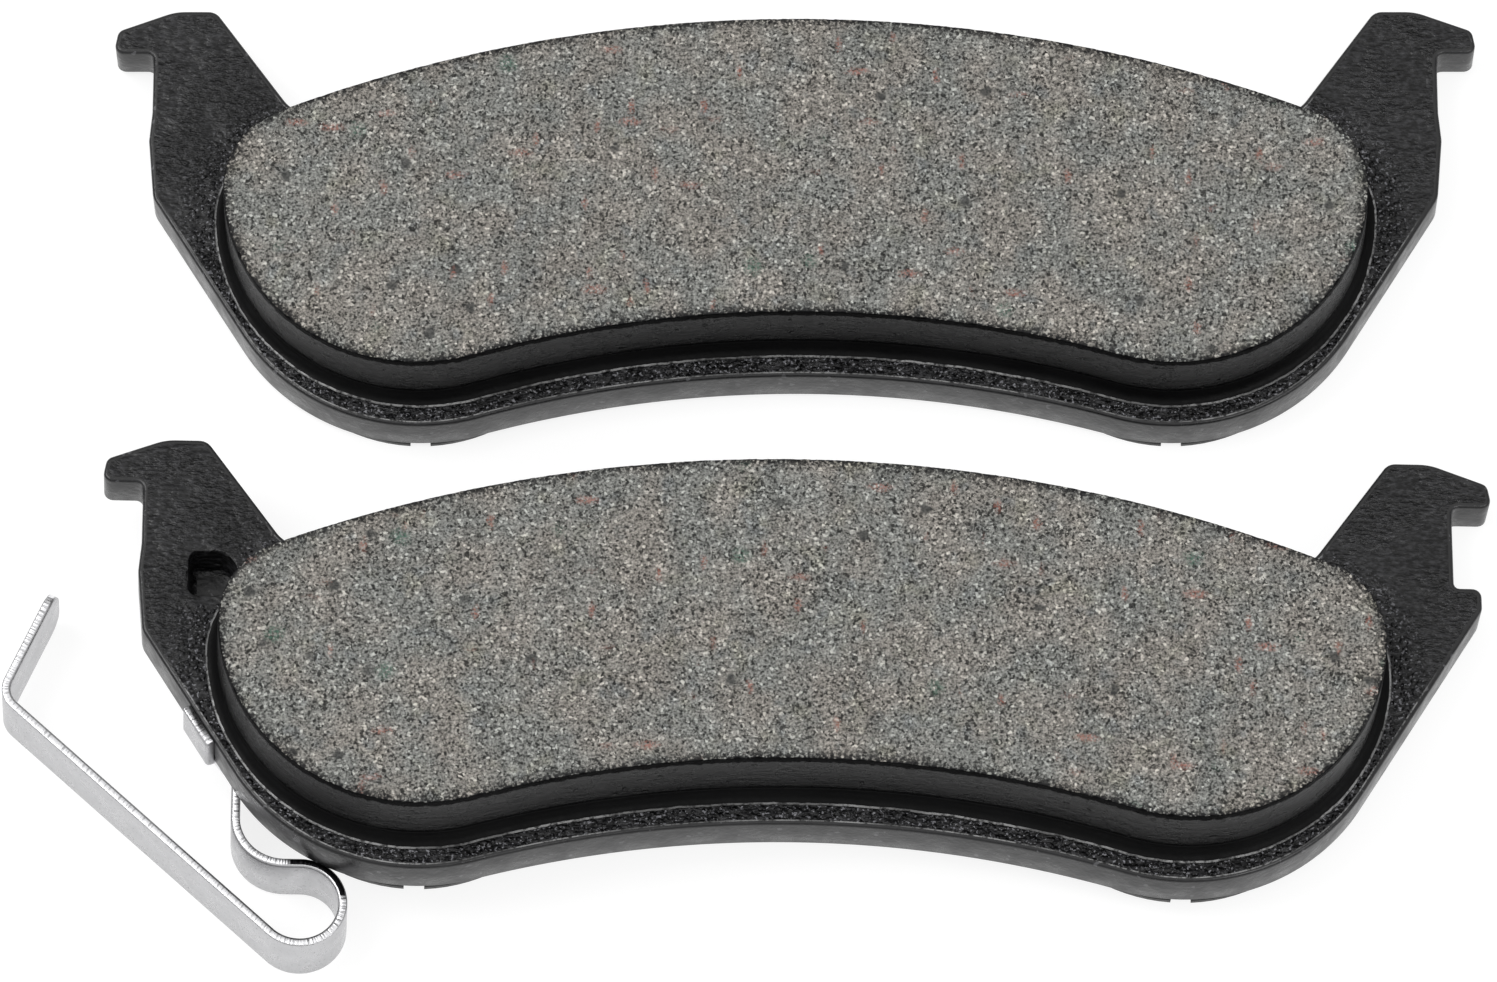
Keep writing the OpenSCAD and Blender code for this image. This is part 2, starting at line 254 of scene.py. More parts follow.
class Piece:
    """Collects rings and caps of one piece in pad coordinates and makes the object."""

    def __init__(self):
        self.points, self.faces, self.slots, self.marks = [], [], [], []

    def ring(self, outline, height, mark=0.0):
        """Adds a ring of points and returns their numbers."""
        first = len(self.points)
        heights = np.broadcast_to(np.asarray(height, float), (len(outline),))
        self.points += [(p[0], p[1], z) for p, z in zip(outline, heights)]
        self.marks += list(np.broadcast_to(np.asarray(mark, float), (len(outline),)))
        return list(range(first, first + len(outline)))

    def wall(self, lower, upper, slot):
        """Joins two rings of the same length, facing outward when lower is below upper."""
        count = len(lower)
        for i in range(count):
            j = (i + 1) % count
            self.faces.append((lower[i], lower[j], upper[j], upper[i]))
            self.slots.append(slot)

    def loft(self, rings, slot):
        """Joins each ring of a list to the next."""
        for lower, upper in zip(rings, rings[1:]):
            self.wall(lower, upper, slot)

    def cap(self, ring, slot, up=True, spacing=0.0, holes=(), relief=None, mark=None):
        """Closes a ring with a fine mesh; relief and mark give height and mark by point."""
        edge = np.array([self.points[i][:2] for i in ring])
        height = self.points[ring[0]][2]
        fixed = list(ring)
        links = [(i, (i + 1) % len(ring)) for i in range(len(ring))]
        for hole in holes:
            start = len(fixed)
            fixed += hole
            links += [(start + i, start + (i + 1) % len(hole)) for i in range(len(hole))]
        flat = [np.array(self.points[i][:2]) for i in fixed]
        if spacing:
            low, high = edge.min(axis=0), edge.max(axis=0)
            grid = np.array([(x + (row % 2) * spacing / 2, y)
                             for row, y in enumerate(np.arange(low[1], high[1], spacing))
                             for x in np.arange(low[0], high[0], spacing)])
            grid = grid[inside(grid, edge)]
            grid = grid[distance(grid, np.array(flat)) > 0.6 * spacing]
            for hole in holes:
                grid = grid[~inside(grid, np.array([self.points[i][:2] for i in hole]))]
            z = height + (relief(grid) if relief else np.zeros(len(grid)))
            fixed += self.ring(grid, z, mark(grid) if mark else 0.0)
            flat += list(grid)
        made = geometry.delaunay_2d_cdt([Vector(p) for p in flat], links, [], 0, 1e-6)
        number = [fixed[source[0]] for source in made[3]]
        triangles = np.array([[number[i] for i in face] for face in made[2]])
        centres = np.array([[self.points[i][:2] for i in face] for face in triangles]).mean(axis=1)
        keep = inside(centres, edge)
        for hole in holes:
            keep &= ~inside(centres, np.array([self.points[i][:2] for i in hole]))
        for face in triangles[keep]:
            self.faces.append(tuple(face) if up else tuple(face[::-1]))
            self.slots.append(slot)

    def make(self, name, place, materials, shift=0.0):
        """Makes the mesh object, laid out by the matrix place. shift sets patterns apart."""
        mesh = bpy.data.meshes.new(name)
        mesh.from_pydata(self.points, [], [tuple(int(i) for i in face) for face in self.faces])
        where = mesh.attributes.new("where", "FLOAT_VECTOR", "POINT")
        spread = np.array(self.points, np.float32) + np.array([shift, 0, 0], np.float32)
        where.data.foreach_set("vector", spread.ravel())
        mark = mesh.attributes.new("mark", "FLOAT", "POINT")
        mark.data.foreach_set("value", np.array(self.marks, np.float32))
        for material in materials:
            mesh.materials.append(material)
        mesh.polygons.foreach_set("material_index", self.slots)
        mesh.polygons.foreach_set("use_smooth", [True] * len(self.faces))
        mesh.transform(place)
        work = bmesh.new()
        work.from_mesh(mesh)
        loose = [v for v in work.verts if not v.link_faces]
        bmesh.ops.delete(work, geom=loose, context="VERTS")
        bmesh.ops.recalc_face_normals(work, faces=work.faces)
        work.to_mesh(mesh)
        work.free()
        piece = bpy.data.objects.new(name, mesh)
        bpy.context.scene.collection.objects.link(piece)
        return piece


def pad_place(pad):
    """Matrix from a pad's own millimetres to the shared frame, from the pad's mounts."""
    face, guide = MOUNTS[f"{pad}_friction_face"], MOUNTS[f"{pad}_right_guide_face"]
    normal, along = Vector(face["axis"]).normalized(), Vector(guide["axis"]).normalized()
    outward = normal.cross(along)
    origin = Vector(face["pos_m"]) - (outward * FACE_MOUNT_Y + normal * FACE_Z) * MM
    columns = [along * MM, outward * MM, normal * MM, origin]
    return Matrix([[*(c[row] for c in columns)] for row in range(3)] + [[0, 0, 0, 1]])


# --- materials -------------------------------------------------------------------------

class Shader:
    """A Principled material and short ways to add nodes to it."""

    def __init__(self, name, color, roughness, metallic=0.0, specular=0.5):
        self.material = bpy.data.materials.new(name)
        self.material.use_nodes = True
        self.nodes = self.material.node_tree.nodes
        self.links = self.material.node_tree.links
        self.surface = self.nodes["Principled BSDF"]
        self.surface.inputs["Base Color"].default_value = (*color, 1)
        self.surface.inputs["Roughness"].default_value = roughness
        self.surface.inputs["Metallic"].default_value = metallic
        self.surface.inputs["Specular IOR Level"].default_value = specular

    def node(self, kind, inputs=(), **settings):
        """A node with its inputs linked or set, and its settings."""
        made = self.nodes.new(kind)
        for key, value in settings.items():
            setattr(made, key, value)
        for key, value in dict(inputs).items():
            if isinstance(value, bpy.types.NodeSocket):
                self.links.new(value, made.inputs[key])
            else:
                made.inputs[key].default_value = value
        return made

    def where(self, scale=(1, 1, 1), warp=None):
        """Pad coordinates in millimetres, scaled, and warped by a noise if asked."""
        vector = self.node("ShaderNodeAttribute", attribute_name="where").outputs["Vector"]
        if warp:
            size, amount = warp
            wobble = self.node("ShaderNodeTexNoise", {"Vector": vector, "Scale": 1 / size})
            offset = self.node("ShaderNodeVectorMath", {0: wobble.outputs["Color"], 1: (0.5, 0.5, 0.5)},
                               operation="SUBTRACT").outputs[0]
            offset = self.node("ShaderNodeVectorMath", {0: offset, "Scale": amount},
                               operation="SCALE").outputs[0]
            vector = self.node("ShaderNodeVectorMath", {0: vector, 1: offset},
                               operation="ADD").outputs[0]
        return self.node("ShaderNodeVectorMath", {0: vector, 1: scale},
                         operation="MULTIPLY").outputs[0]

    def mark(self):
        """The number that each piece keeps at its points, a distance in millimetres."""
        return self.node("ShaderNodeAttribute", attribute_name="mark").outputs["Fac"]

    def grain(self, size, detail=2.0, stretch=(1, 1, 1), vector=None, rough_share=0.5):
        """Noise whose features are about size millimetres across."""
        at = vector or self.where(stretch)
        made = self.node("ShaderNodeTexNoise", {"Vector": at, "Scale": 1 / size, "Detail": detail,
                                                "Roughness": rough_share})
        return made.outputs["Fac"]

    def cells(self, size, vector=None, output="Distance"):
        """Cells about size millimetres across: distance from the middle, or random colors."""
        at = vector or self.where()
        return self.node("ShaderNodeTexVoronoi", {"Vector": at, "Scale": 1 / size}).outputs[output]

    def ramp(self, value, low, high, out_low=0.0, out_high=1.0):
        """Maps low to high onto out_low to out_high, and stays there beyond them."""
        made = self.node("ShaderNodeMapRange", {"Value": value, "From Min": low, "From Max": high,
                                                "To Min": out_low, "To Max": out_high})
        return made.outputs["Result"]

    def math(self, operation, a, b=0.0):
        """One calculation with two values."""
        return self.node("ShaderNodeMath", {0: a, 1: b}, operation=operation).outputs[0]

    def grey(self, level, blue=1.0):
        """A grey color from a level, with its blue made stronger if asked."""
        tinted = level if blue == 1.0 else self.math("MULTIPLY", level, blue)
        return self.node("ShaderNodeCombineColor", {0: level, 1: level, 2: tinted}).outputs[0]

    def mix(self, factor, a, b, blend="MIX"):
        """Two colors mixed: a where factor is 0, and blended with b where it is 1."""
        made = self.node("ShaderNodeMix", data_type="RGBA", blend_type=blend)
        for socket, value in ((made.inputs[0], factor), (made.inputs[6], a), (made.inputs[7], b)):
            if isinstance(value, bpy.types.NodeSocket):
                self.links.new(value, socket)
            else:
                socket.default_value = value
        return made.outputs[2]

    def bump(self, height, depth, normal=None):
        """depth is in millimetres for a height from 0 to 1."""
        made = self.node("ShaderNodeBump", {"Height": height, "Distance": depth * MM, "Strength": 1.0})
        if normal is not None:
            self.links.new(normal, made.inputs["Normal"])
        return made.outputs["Normal"]

    def set(self, **inputs):
        """Links values to the surface's inputs and returns the material."""
        for key, value in inputs.items():
            self.links.new(value, self.surface.inputs[key.replace("_", " ")])
        return self.material


def face_tints(s):
    """Cloudy ground of the friction face: green-grey, taupe, olive and blue."""
    cloud = s.ramp(s.grain(6.5, 3.5), 0.4, 0.6)
    color = s.mix(cloud, (0.182, 0.185, 0.174, 1), (0.211, 0.198, 0.179, 1))
    olive = s.ramp(s.grain(3.7, 2.0), 0.58, 0.74, 0.0, 0.5)
    color = s.mix(olive, color, (0.2, 0.196, 0.156, 1))
    blue = s.ramp(s.grain(2.9, 2.0, stretch=(1, 0.9, 1)), 0.6, 0.72, 0.0, 0.6)
    return s.mix(blue, color, (0.136, 0.146, 0.148, 1))


def face_grain(s, salt, dice):
    """Brightness of the grain: grinding streaks, glints, and dark grains in clusters."""
    streak = s.ramp(s.grain(0.9, 2.0, stretch=(1, 0.06, 1)), 0.3, 0.7, 0.88, 1.12)
    level = s.math("MULTIPLY", streak, salt)
    level = s.math("ADD", level, s.ramp(dice[0], 0.88, 0.97, 0.0, 1.5))
    cluster = s.ramp(s.grain(8.0, 2.0, stretch=(0.8, 1.1, 1)), 0.55, 0.7, 0.0, 0.1)
    dark = s.math("ADD", dice[1], cluster)
    level = s.math("MULTIPLY", level, s.ramp(dark, 0.85, 0.94, 1.0, 0.2))
    return s.math("MAXIMUM", level, 0.12)


def face_inclusions(s, color):
    """Dark lumps, and short red and green fibres that lie along and across the pad."""
    lump = s.cells(6.5, vector=s.where(warp=(0.9, 0.8)))
    color = s.mix(s.ramp(lump, 0.07, 0.12, 0.82, 0.0), color, (0.045, 0.046, 0.045, 1))
    for size, stretch, tint in ((6.3, (1.9, 0.8, 1), (0.31, 0.12, 0.09, 1)),
                                (7.9, (0.7, 1.8, 1), (0.34, 0.15, 0.12, 1)),
                                (11.0, (1.2, 1.2, 1), (0.07, 0.15, 0.11, 1))):
        fibre = s.cells(size, vector=s.where(stretch, warp=(0.7, 0.9)))
        broken = s.ramp(s.grain(0.25, 1.0), 0.4, 0.6)
        near = s.math("MULTIPLY", s.ramp(fibre, 0.05, 0.15, 0.75, 0.0), broken)
        color = s.mix(near, color, tint)
    return color


def face_rim(s, color):
    """Chips toward the rim of the face; the mark is the distance from it."""
    rim = s.ramp(s.mark(), 0.0, 1.6, 1.0, 0.0)
    pitted = s.math("ADD", s.grain(0.32, 3.0), s.math("MULTIPLY", rim, 0.16))
    chips = s.math("MULTIPLY", s.ramp(pitted, 0.56, 0.64), s.math("POWER", rim, 0.7))
    return s.mix(chips, color, (0.01, 0.01, 0.011, 1))


def friction_face():
    """Ground friction compound: salt-and-pepper grain, cloudy tints, fibres, worn rim."""
    s = Shader("friction_face", (0.2, 0.19, 0.17), 0.86, specular=0.2)
    salt = s.ramp(s.grain(GRAIN, 3.0, rough_share=0.7), 0.3, 0.7, -0.1, 2.1)
    cell = s.cells(GRAIN, vector=s.where(warp=(0.4, 0.35)), output="Color")
    dice = s.node("ShaderNodeSeparateColor", {"Color": cell}).outputs
    color = s.mix(1.0, face_tints(s), s.grey(face_grain(s, salt, dice)), "MULTIPLY")
    color = face_rim(s, face_inclusions(s, color))
    roughness = s.ramp(dice[0], 0.9, 0.96, 0.86, 0.45)
    return s.set(Base_Color=color, Roughness=roughness, Normal=s.bump(salt, 0.03))


def black_paint(name, base, roughness, peel, depth, specular=0.4, speck=0.0, pits=0.0,
                dull_depth=0.0, stretch=(1, 1, 1)):
    """Black paint: orange peel of a size and depth, dust nibs, pits and uneven gloss.

    With a depth given, the paint from the friction face down to that depth, by the mark, has almost no
    specular reflection."""
    s = Shader(name, (base,) * 3, roughness, specular=specular)
    haze = s.ramp(s.grain(9.0, 3.0), 0.35, 0.65, 0.75, 1.3)
    level = s.math("MULTIPLY", haze, base)
    if speck:
        dots = s.cells(0.42, vector=s.where(warp=(0.5, 0.3)), output="Color")
        pick = s.node("ShaderNodeSeparateColor", {"Color": dots}).outputs[0]
        level = s.math("ADD", level, s.ramp(pick, 1 - speck, 1 - speck / 2, 0.0, 0.06))
    color = s.grey(level, blue=1.06)
    fine = s.grain(peel, 2.5, stretch=stretch, rough_share=0.55)
    wavy = s.grain(peel * 4, 1.5, stretch=stretch)
    height = s.math("ADD", fine, s.math("MULTIPLY", wavy, 1.2))
    if pits:
        hole = s.cells(2.3, vector=s.where(warp=(1.5, 1.2)))
        height = s.math("ADD", height, s.ramp(hole, 0.06, 0.14, -2 * pits, 0.0))
    # Band just below the friction face with almost no specular reflection.
    if dull_depth:
        below = s.math("ADD", s.mark(), s.ramp(s.grain(0.8, 3.0), 0.3, 0.7, -0.2, 0.2))
        s.set(Specular_IOR_Level=s.ramp(below, dull_depth - 0.15, dull_depth + 0.1, 0.02, specular))
    sheen = s.ramp(s.grain(2.6, 3.0), 0.35, 0.65, roughness - 0.07, roughness + 0.08)
    return s.set(Base_Color=color, Roughness=sheen, Normal=s.bump(height, depth))


def painted_edge_highlight():
    """Painted highlight: bright, slightly glossier dashes on black paint, strongest near the lining's
    foot.
    """
    s = Shader("painted_edge_highlight", (0.02,) * 3, 0.35, specular=0.5)
    dash = s.ramp(s.grain(0.7, 3.0, rough_share=0.65), 0.38, 0.54)
    shine = s.ramp(s.grain(7.0, 1.0), 0.35, 0.6, 0.09, 0.26)
    # Painted highlight strength, fading out away from the lining's foot.
    wear_and_highlight = s.math("MULTIPLY", shine, s.ramp(s.mark(), 2.5, 5.0, 1.0, 0.04))
    level = s.math("ADD", s.math("MULTIPLY", dash, wear_and_highlight), 0.006)
    return s.set(Base_Color=s.grey(level), Roughness=s.ramp(dash, 0.0, 1.0, 0.45, 0.3))


def ledge_paint():
    """Paint of the plate's top face: coarse and speckled at the foot of the lining; its colour is
    lighter on the orange peel's raised bumps, a painted highlight.
    """
    s = Shader("plate_top_paint", (0.01,) * 3, 0.36, specular=0.36)
    near = s.ramp(s.mark(), 1.0, 5.0, 1.0, 0.0)
    calm = s.ramp(s.grain(6.0, 2.0), 0.4, 0.6, 0.3, 1.25)
    peel = s.grain(0.42, 2.5, stretch=(0.5, 1, 1), rough_share=0.6)
    wave = s.grain(1.3, 2.0, stretch=(0.6, 1, 1))
    grit = s.ramp(s.cells(0.55, vector=s.where(warp=(0.6, 0.4))), 0.05, 0.55, 1.0, 0.0)
    height = s.math("ADD", s.math("MULTIPLY", peel, calm), s.math("MULTIPLY", wave, 0.9))
    height = s.math("ADD", height, s.math("MULTIPLY", s.math("MULTIPLY", grit, near), 0.7))
    haze = s.ramp(s.grain(8.0, 3.0), 0.35, 0.65, 0.003, 0.008)
    tips = s.math("MULTIPLY", s.ramp(s.grain(0.34, 2.0), 0.6, 0.66, 0.0, 0.2), near)
    # Painted highlight: colour lighter where the orange peel stands high.
    peel_highlight = s.ramp(peel, 0.42, 0.7, -0.004, 0.025)
    level = s.math("MAXIMUM", s.math("ADD", s.math("ADD", haze, tips), peel_highlight), 0.002)
    sheen = s.ramp(s.grain(3.0, 3.0), 0.35, 0.65, 0.27, 0.4)
    return s.set(Base_Color=s.grey(level, blue=1.08), Roughness=sheen, Normal=s.bump(height, 0.42))


def zinc(name, tone, roughness, ticks):
    """Bright zinc on spring steel, brushed along the strip; ticks on the sheared edges, which are nearly
    black over one stretch of the run.
    """
    s = Shader(name, (tone,) * 3, roughness, metallic=1.0)
    cloud = s.ramp(s.grain(2.2, 3.0), 0.35, 0.65, roughness - 0.07, roughness + 0.1)
    spot = s.ramp(s.grain(0.3, 3.0), 0.6, 0.74, tone, tone * 0.6)
    color = s.grey(spot, blue=1.02)
    if not ticks:
        brushed = s.grain(0.12, 2.0, stretch=(1, 1, 9))
        return s.set(Base_Color=color, Roughness=cloud, Normal=s.bump(brushed, 0.012))
    # Sheared edges made nearly black over one stretch of the strip's run.
    dark_stretch = s.math("MULTIPLY", s.ramp(s.mark(), DARK_EDGE_START, DARK_EDGE_START + 0.8),
                   s.ramp(s.mark(), DARK_EDGE_END - 0.5, DARK_EDGE_END, 1.0, 0.0))
    run = s.node("ShaderNodeCombineXYZ", {"X": s.mark()}).outputs[0]
    marks = s.grain(0.3, 1.0, vector=run)
    color = s.mix(s.ramp(marks, 0.48, 0.62, 0.0, 0.65), color, (0.3, 0.3, 0.305, 1))
    color = s.mix(dark_stretch, color, (0.01, 0.01, 0.011, 1))
    return s.set(Base_Color=color, Roughness=cloud, Normal=s.bump(marks, 0.12))


def coated_steel():
    """Black coating of the noise shims, which stay as CAD solids: object coordinates."""
    s = Shader("shim_coating", (0.022, 0.022, 0.024), 0.4, specular=0.45)
    at = s.node("ShaderNodeTexCoord").outputs["Object"]
    fine = s.grain(0.4 * MM, 2.0, vector=at)
    wear_and_highlight = s.ramp(s.grain(3.5 * MM, 3.0, vector=at), 0.35, 0.65, 0.32, 0.52)
    level = s.ramp(s.grain(6 * MM, 3.0, vector=at), 0.35, 0.65, 0.016, 0.03)
    return s.set(Base_Color=s.grey(level), Roughness=wear_and_highlight, Normal=s.bump(fine, 0.02))


def rubber():
    """Damping layer between shim and plate."""
    s = Shader("damping_rubber", (0.014, 0.014, 0.014), 0.75, specular=0.3)
    at = s.node("ShaderNodeTexCoord").outputs["Object"]
    level = s.ramp(s.grain(1.5 * MM, 4.0, vector=at), 0.35, 0.65, 0.009, 0.02)
    return s.set(Base_Color=s.grey(level), Normal=s.bump(s.grain(0.25 * MM, 2.0, vector=at), 0.03))


# --- pads ------------------------------------------------------------------------------

def edge_profile(roll, height):
    """(inset, height) pairs up one side of a plate: sharp-edged back, rolled-over top."""
    steps = [(1 - math.sin(a), math.cos(a)) for a in np.linspace(math.pi / 2, 0, 6)]
    top = [(roll * inset, height - roll * (1 - rise)) for inset, rise in steps]
    back = [(0.45, 0.0), (0.12, 0.0), (0.03, 0.04), (0.0, 0.12), (0.0, height * 0.5)]
    return back + top + [(roll + 0.15, height)]


def stake_recess(piece, outline, normal):
    """The half-sheared D from above; returns its rim, which is a hole in the plate's top."""
    profile = ((0.35, 0.0), (0.12, 0.0), (0.02, -0.07), (0.0, -0.25), (-0.25, -STAKE_DEPTH + 0.5),
               (-0.45, -STAKE_DEPTH + 0.12), (-0.9, -STAKE_DEPTH))
    rings = [piece.ring(outline + normal * out, PLATE_T + z, FAR_FROM_FOOT) for out, z in profile]
    piece.loft(rings, TOP)
    piece.cap(rings[-1], SIDE, up=True, spacing=0.5)
    return rings[0]


def stake_stub(piece, outline, normal):
    """The D's stub below the plate; returns its root, which is a hole in the plate's back."""
    profile = ((0.3, 0.0), (0.02, 0.0), (0.0, -0.05), (0.0, -STAKE_HEIGHT + 0.35),
               (-0.12, -STAKE_HEIGHT + 0.08), (-0.4, -STAKE_HEIGHT))
    rings = [piece.ring(outline + normal * out, z, FAR_FROM_FOOT) for out, z in profile]
    piece.loft(rings[::-1], BACK)
    piece.cap(rings[-1], BACK, up=False)
    return rings[0]


def backing_plate(pad, place, materials):
    """Fine-blanked plate with its rolled top edge; the inboard one has the staked D."""
    inboard = pad == "inboard"
    shift = PATTERN_SHIFT[pad]
    outline, normal = resampled(plate_outline(wide_shoulder=inboard), 0.3)
    foot, foot_normal = resampled(lining_outline(), 0.6)
    foot = foot + foot_normal * FOOT_FLARE
    piece = Piece()
    rings = []
    for inset, z in edge_profile(PLATE_ROLL, PLATE_T):
        ring = outline - normal * inset
        rings.append(piece.ring(ring, z, distance(ring, foot)))
    piece.loft(rings[:-1], SIDE)
    # The flat band just inside the rolled top edge gets a painted highlight.
    piece.loft(rings[-2:], EDGE_HIGHLIGHT)
    top_holes, back_holes = [], []
    if inboard:
        d_outline, d_normal = resampled(stake_outline(STAKE_SIZE), 0.2)
        top_holes.append(stake_recess(piece, d_outline, d_normal))
        back_holes.append(stake_stub(piece, d_outline, d_normal))

    def relief(points):
        fade = np.clip(distance(points, outline) / 2, 0, 1)
        return fade * (0.03 * rough(points, 2.2, shift) + 0.02 * rough(points, 0.9, shift + 5))

    piece.cap(rings[-1], TOP, up=True, spacing=0.8, holes=top_holes, relief=relief,
              mark=lambda points: distance(points, foot))
    piece.cap(rings[0], BACK, up=False, spacing=4.0, holes=back_holes)
    made = piece.make(f"{pad}_plate_pressing", place, materials, shift)
    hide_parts(f"{pad}_backing_plate")
    return made


def lining_block(pad, place, materials):
    """Friction lining: ragged ground face, painted wall with a little draft."""
    shift = PATTERN_SHIFT[pad]
    outline, normal = resampled(lining_outline(), 0.25)
    chip = np.clip(rough(outline, 1.1, shift) - 0.25, 0, 1) * 0.42
    nibble = 0.05 * rough(outline, 0.35, shift + 3)
    edge = -0.1 - chip + nibble
    side = [(-0.5, 6.8), (0.13, 6.8), (0.14, 7.4), (0.12, 8.6), (0.09, 10.2), (0.06, 12.0), (0.03, 13.5)]
    rim = [(nibble * 0.6 - 0.02, FACE_Z - 0.22), (edge * 0.7, FACE_Z - 0.06), (edge, FACE_Z)]
    piece = Piece()
    rings = [piece.ring(outline + normal * np.reshape(grow, (-1, 1)), z, FACE_Z - z)
             for grow, z in side + rim]
    piece.loft(rings, WALL)
    inner = [rings[-1]]
    for inset in (0.5, 1.2, 2.2):
        grow = edge * (1 - inset / 2.5) - inset
        inner.append(piece.ring(outline + normal * grow[:, None], FACE_Z, inset))
    piece.loft(inner, FACE)
    piece.cap(inner[-1], FACE, up=True, spacing=2.0, mark=lambda points: np.full(len(points), 3.0))
    piece.cap(rings[0], WALL, up=False, spacing=5.0)
    made = piece.make(f"{pad}_lining_block", place, materials, shift)
    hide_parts(f"{pad}_friction_lining")
    return made


def underlayer_foot(pad, place, materials):
    """Underlayer: the concave flare round the lining's foot, ending in a thin flash."""
    shift = PATTERN_SHIFT[pad]
    outline, normal = resampled(lining_outline(), 0.25)
    flash = 0.07 * rough(outline, 0.8, shift + 11) + 0.06 * rough(outline, 3.0, shift + 13)
    seat = PLATE_T + 0.001
    toe = FOOT_FLARE - FLASH_BEVEL
    profile = [(0.6, 0.0, seat), (FOOT_FLARE, 1.0, seat), (FOOT_FLARE, 1.0, PLATE_T + FLASH_LOW),
               (toe, 1.0, PLATE_T + FLASH_HIGH)]
    for angle in np.linspace(0.12, math.pi / 2, 9):
        grow = COVE_END + (toe - COVE_END) * (1 - math.sin(angle))
        rise = (UNDER_T - FLASH_HIGH) * (1 - math.cos(angle))
        profile.append((grow, 1 - angle / (math.pi / 2), PLATE_T + FLASH_HIGH + rise))
    profile.append((-0.5, 0.0, PLATE_T + UNDER_T))
    piece = Piece()
    rings = [piece.ring(outline + normal * (grow + flash * share)[:, None], z)
             for grow, share, z in profile]
    piece.loft(rings[:3], COVE)
    # The flash lip gets a painted highlight.
    piece.loft(rings[2:5], FLASH)
    piece.loft(rings[4:], COVE)
    piece.cap(rings[-1], COVE, up=True, spacing=5.0)
    piece.cap(rings[0], COVE, up=False, spacing=5.0)
    made = piece.make(f"{pad}_moulded_foot", place, materials, shift)
    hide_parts(f"{pad}_underlayer")
    return made


# --- retaining spring ------------------------------------------------------------------

def strip_section():
    """Cross-section of the strip (across, height): rolled edge on one side, burr on the other."""
    half, low, high = STRIP_T / 2, -STRIP_W, -STRIP_DROP
    return np.array(rounded([(half, low, 0.1), (half, high, 0.14), (-half, high, 0.3),
                             (-half, low, 0.26)]))


def bend(centre, radius, start, end, spacing=0.2):
    """Middle line of the strip round an arc: (x, y, direction of its left side)."""
    left = 0 if end < start else 180
    steps = max(2, math.ceil(abs(math.radians(end - start)) * radius / spacing))
    angles = [start + (end - start) * i / steps for i in range(steps + 1)]
    return [(*(np.array(centre) + radius * heading(a)), a + left) for a in angles]


def straight(first, last, side, spacing=0.3):
    """Middle line between two points, with their ends left out."""
    first, last = np.array(first), np.array(last)
    steps = max(2, math.ceil(np.linalg.norm(last - first) / spacing))
    return [(*(first + (last - first) * i / steps), side) for i in range(1, steps)]


def sweep_strip(piece, line, free_end, run_start=0.0):
    """Sweeps the strip's section along a middle line; free_end rounds the last corners."""
    section = strip_section()
    middle = -(STRIP_W + STRIP_DROP) / 2
    half_height = (STRIP_W - STRIP_DROP) / 2
    place = np.array([(x, y) for x, y, _ in line])
    run = np.concatenate([[0], np.cumsum(np.linalg.norm(np.diff(place, axis=0), axis=1))])
    rings = []
    for (x, y, side), at in zip(line, run):
        left = heading(side)
        to_end = run[-1] - at
        height = section[:, 1].copy()
        if free_end and to_end < TIP_CORNER:
            trim = TIP_CORNER - math.sqrt(max(TIP_CORNER**2 - (TIP_CORNER - to_end)**2, 0))
            height = middle + (height - middle) * (half_height - trim) / half_height
        spots = np.array([x, y]) + section[:, :1] * left
        rings.append(piece.ring(spots, height, run_start + at))
    height = section[:, 1]
    on_edge = (height > height.max() - 0.02).astype(int) - (height < height.min() + 0.02)
    count = len(section)
    for a, b in zip(rings, rings[1:]):
        for i in range(count):
            j = (i + 1) % count
            piece.faces.append((a[i], b[i], b[j], a[j]))
            piece.slots.append(EDGE if on_edge[i] * on_edge[j] == 1 else FLAT)
    for ring, order in ((rings[0], 1), (rings[-1], -1)):
        first = len(piece.points)
        piece.points += [piece.points[i] for i in ring]
        piece.marks += [piece.marks[i] for i in ring]
        piece.faces.append(tuple(range(first, first + count))[::order])
        piece.slots.append(EDGE)


def spring_base(place, materials):
    """Staked base with its tab, the fold, the return bend and the fixed part of the loop."""
    piece = Piece()
    return_y = LOOP[1] + LOOP_R + RETURN_R
    line = ([(RETURN_X, FOLD_FROM, 0)]
            + straight((RETURN_X, FOLD_FROM), (RETURN_X, return_y), 0)
            + bend((RETURN_X + RETURN_R, return_y), RETURN_R, 180, 270)
            + straight((RETURN_X + RETURN_R, LOOP[1] + LOOP_R), (LOOP[0], LOOP[1] + LOOP_R), 90)
            + bend(LOOP, LOOP_R, 90, 0))
    sweep_strip(piece, line, free_end=False)
    fold(piece)
    base_plate(piece)
    edge_tab(piece)
    made = piece.make("spring_base_strip", place, materials, PATTERN_SHIFT["spring"])
    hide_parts("retaining_spring_base")
    return made


def fold(piece):
    """Wedge of strip between the base and the part on edge."""
    outline = [(FOLD_FROM - 0.3, -STRIP_DROP), (FOLD_FROM - 0.3, -STRIP_W), (FOLD_FROM, -STRIP_W),
               (FOLD_TO, -STRIP_T), (FOLD_TO, -STRIP_DROP)]
    middle = np.mean(outline, axis=0)
    sides = []
    for x, inset in ((-0.5, 0.08), (-0.42, 0.0), (0.42, 0.0), (0.5, 0.08)):
        first = len(piece.points)
        for y, z in outline:
            toward = middle - np.array([y, z])
            inner_y, inner_z = np.array([y, z]) + toward / np.linalg.norm(toward) * inset
            piece.points.append((RETURN_X + x * STRIP_T, inner_y, inner_z))
            piece.marks.append(inner_y)
        sides.append(list(range(first, first + len(outline))))
    piece.loft(sides, FLAT)
    piece.faces += [tuple(sides[0][::-1]), tuple(sides[-1])]
    piece.slots += [FLAT, FLAT]


def tab_corner():
    """The lower end of the left flank, and the direction up the flank."""
    x, y = flank_foot()
    return np.array([-x, y]), heading(180 - FLANK_ANGLE)


